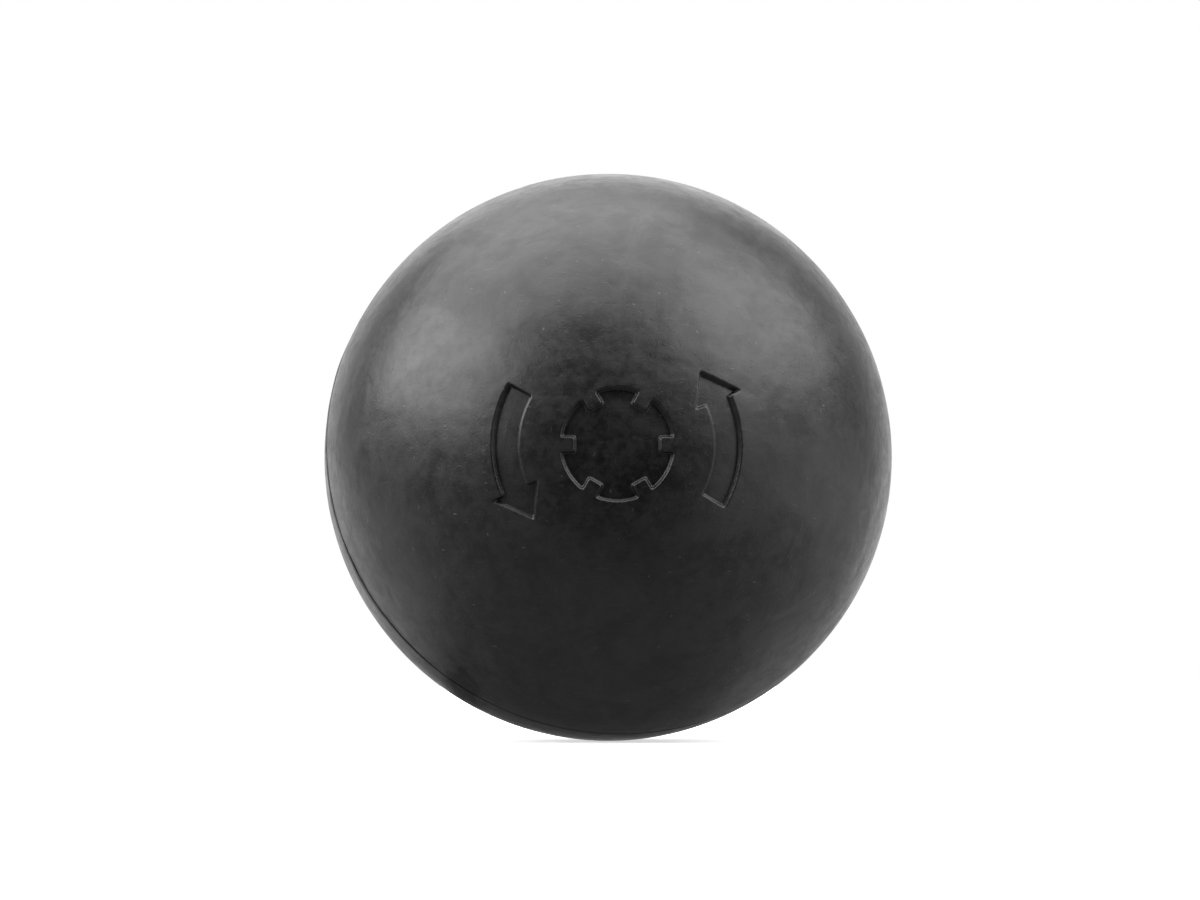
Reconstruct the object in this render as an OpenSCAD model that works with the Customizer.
// Case-opening friction ball: an air-filled rubber ball that a watchmaker presses
// and turns on a screw case back. Two moulded half shells are cemented together
// over a butyl bladder, which is filled through a self-sealing needle valve.
// The origin is the ball's centre, +Z is up, the emblem faces -Y and the valve +Y.

/* [Ball] */
// Outside diameter of the ball
ball_d = 65; // [60:1:75]
// Thickness of the moulded rubber wall
wall_t = 4.5; // [4:0.5:6]
// Thickness of the bladder inside the wall
bladder_t = 0.9; // [0.6:0.1:1.2]

/* [Seam] */
// Angle between the parting plane and a plane square to the emblem
seam_tilt = 16.5; // [0:0.5:20]
// Direction the parting plane leans, clockwise from up as seen from the front
seam_turn = 33; // [0:1:90]
// Thickness of the cement between the two halves
cement_t = 0.3; // [0.2:0.05:0.6]
// Depth of the fine groove that is left where the cement meets the surface
cement_recess = 0.15; // [0.05:0.05:0.4]

/* [Emblem] */
// Radius of the middle of the two turning arrows
arrow_r = 12.1; // [11:0.1:13]
// Width of an arrow's shaft
arrow_w = 2.9; // [2:0.1:3.2]
// Width of an arrow's head
arrow_head_w = 5.4; // [4:0.1:6]
// Diameter of the notched case back between the arrows
disc_d = 12.4; // [9:0.1:13]
// Number of notches in that case back
disc_notches = 6; // [4:1:8]
// Depth of the emblem below the surface
emblem_depth = 0.6; // [0.3:0.1:1]

/* [Valve] */
// Diameter of the needle that fills the ball
needle_d = 2.0; // [1.8:0.1:2.2]
// Diameter of the valve insert's shank
insert_d = 4.3; // [4:0.1:5]
// Diameter of the valve insert's head
insert_head_d = 6.4; // [6:0.1:7]
// Diameter of the valve boot's neck, where it comes through the wall
neck_d = 8.8; // [8.6:0.1:9.6]
// Diameter of the flat round recess that the valve lies in
recess_d = 13; // [12:0.5:14]

/* [Hidden] */
$fn = 128;

ball_r = ball_d / 2;
cavity_r = ball_r - wall_t;
// Air gap that stands for two rubber faces pressed together
contact_gap = 0.05;
bladder_r = cavity_r - contact_gap;
bladder_in_r = bladder_r - bladder_t;
// Long enough to pass right through the ball's wall from any side
beyond = ball_r + 5;

arrow_start = -30;
arrow_neck = 24;
arrow_tip = 42;
notch_w = 1.6;
notch_depth = 1.5;

// Heights along the valve's axis, from the ball's centre
recess_floor = ball_r - 0.95;
neck_top = recess_floor - 0.05;
head_seat = neck_top - 1.0;
head_top = neck_top - 0.05;
boot_end = ball_r - 18.5;
boot_floor = boot_end + 1.4;
shank_end = boot_floor + 1.2;
pilot_end = ball_r - 7.5;
funnel_depth = 0.8;
running_gap = 0.05;

boot_d = 8.4;
flange_d = 17;
flange_t = 1.2;
flange_r = bladder_in_r - contact_gap;
patch_d = 23;
patch_t = 0.8;
vent_d = 2.4;
pilot_d = needle_d + 0.2;
funnel_d = pilot_d + 1.2;

// +Z of what is inside turns to the front half's pole
module seam_frame()
    rotate([90, 0, 0]) rotate([0, 0, -seam_turn]) rotate([-seam_tilt, 0, 0]) children();

// X to the right, Y up and Z out of the ball's front
module emblem_frame() rotate([90, 0, 0]) children();

// +Z of what is inside turns to the valve's mouth
module valve_frame() rotate([-90, 0, 0]) children();

// Wall between two spheres
module spherical_wall(outer_r, inner_r) difference() {
    sphere(outer_r);
    sphere(inner_r);
}

// Wall between two spheres, kept inside a cylinder about the valve's axis
module wall_patch(outer_r, inner_r, d) intersection() {
    spherical_wall(outer_r, inner_r);
    cylinder(d = d, h = beyond);
}

// One half of the ball's wall, with its rim on the cement
module half_wall() rotate_extrude() intersection() {
    difference() {
        circle(ball_r);
        circle(cavity_r);
    }
    translate([0, cement_t / 2]) square(beyond);
}

function polar(r, angle) = [r * cos(angle), r * sin(angle)];

// Sector of the plane from one angle to another, under 90 degrees wide
module sector(from, to) polygon([[0, 0], polar(2 * ball_r, from), polar(2 * ball_r, to)]);

module arrow() {
    intersection() {
        difference() {
            circle(arrow_r + arrow_w / 2);
            circle(arrow_r - arrow_w / 2);
        }
        sector(arrow_start, arrow_neck + 1);
    }
    polygon([
        polar(arrow_r - arrow_head_w / 2, arrow_neck),
        polar(arrow_r + arrow_head_w / 2, arrow_neck),
        polar(arrow_r, arrow_tip)
    ]);
}

module notched_disc() difference() {
    circle(d = disc_d);
    for (i = [0 : disc_notches - 1])
        rotate(i * 360 / disc_notches)
            translate([disc_d / 2 - notch_depth, -notch_w / 2])
                square([2 * notch_depth, notch_w]);
}

// A screw case back between two arrows, which show the way it unscrews
module emblem() {
    notched_disc();
    for (half_turn = [0, 180]) rotate(half_turn) arrow();
}

module emblem_pocket() difference() {
    emblem_frame() linear_extrude(beyond) emblem();
    sphere(ball_r - emblem_depth);
}

module front_shell() color("#1c1c1d") difference() {
    seam_frame() half_wall();
    emblem_pocket();
}

module rear_shell() color("#1c1c1d") difference() {
    seam_frame() mirror([0, 0, 1]) half_wall();
    valve_frame() cylinder(d = neck_d + 2 * contact_gap, h = beyond);
    valve_frame() translate([0, 0, recess_floor]) cylinder(d = recess_d, h = beyond);
}

module seam_cement() color("#111112") seam_frame() rotate_extrude() intersection() {
    difference() {
        circle(ball_r - cement_recess);
        circle(cavity_r);
    }
    translate([0, -cement_t / 2]) square([beyond, cement_t]);
}

module bladder() color("#2a2522") difference() {
    spherical_wall(bladder_r, bladder_in_r);
    valve_frame() cylinder(d = neck_d + 2 * contact_gap, h = beyond);
}

// Rubber tube moulded to the bladder, which holds the insert
module valve_boot() color("#2a2522") valve_frame() difference() {
    union() {
        translate([0, 0, flange_r - flange_t])
            cylinder(d = neck_d, h = neck_top - flange_r + flange_t);
        wall_patch(flange_r, flange_r - flange_t, flange_d);
        translate([0, 0, boot_end]) cylinder(d = boot_d, h = flange_r - boot_end - 0.5);
    }
    translate([0, 0, boot_floor]) cylinder(d = insert_d + 2 * running_gap, h = beyond);
    translate([0, 0, head_seat]) cylinder(d = insert_head_d + 2 * running_gap, h = beyond);
    cylinder(d = vent_d, h = beyond);
}

// Moulded cup that covers the boot's flange and holds it to the bladder
module valve_patch() color("#2a2522") valve_frame() difference() {
    wall_patch(flange_r, flange_r - flange_t - contact_gap - patch_t, patch_d);
    wall_patch(beyond, flange_r - flange_t - contact_gap, flange_d + 2 * contact_gap);
    cylinder(d = boot_d + 2 * contact_gap, h = beyond);
}

// Self-sealing rubber insert: the needle goes down the pilot hole and through the end
module valve_insert() color("#3a3a3b") valve_frame() difference() {
    union() {
        translate([0, 0, shank_end + insert_d / 4])
            cylinder(d = insert_d, h = head_top - shank_end - insert_d / 4);
        translate([0, 0, shank_end]) cylinder(d1 = insert_d / 2, d2 = insert_d, h = insert_d / 4);
        translate([0, 0, head_seat + contact_gap])
            cylinder(d = insert_head_d, h = head_top - head_seat - contact_gap);
    }
    translate([0, 0, pilot_end]) cylinder(d = pilot_d, h = beyond);
    translate([0, 0, head_top - funnel_depth])
        cylinder(d1 = pilot_d, d2 = funnel_d, h = funnel_depth);
    translate([0, 0, head_top]) cylinder(d = funnel_d, h = beyond);
}

front_shell();
rear_shell();
seam_cement();
bladder();
valve_boot();
valve_patch();
valve_insert();
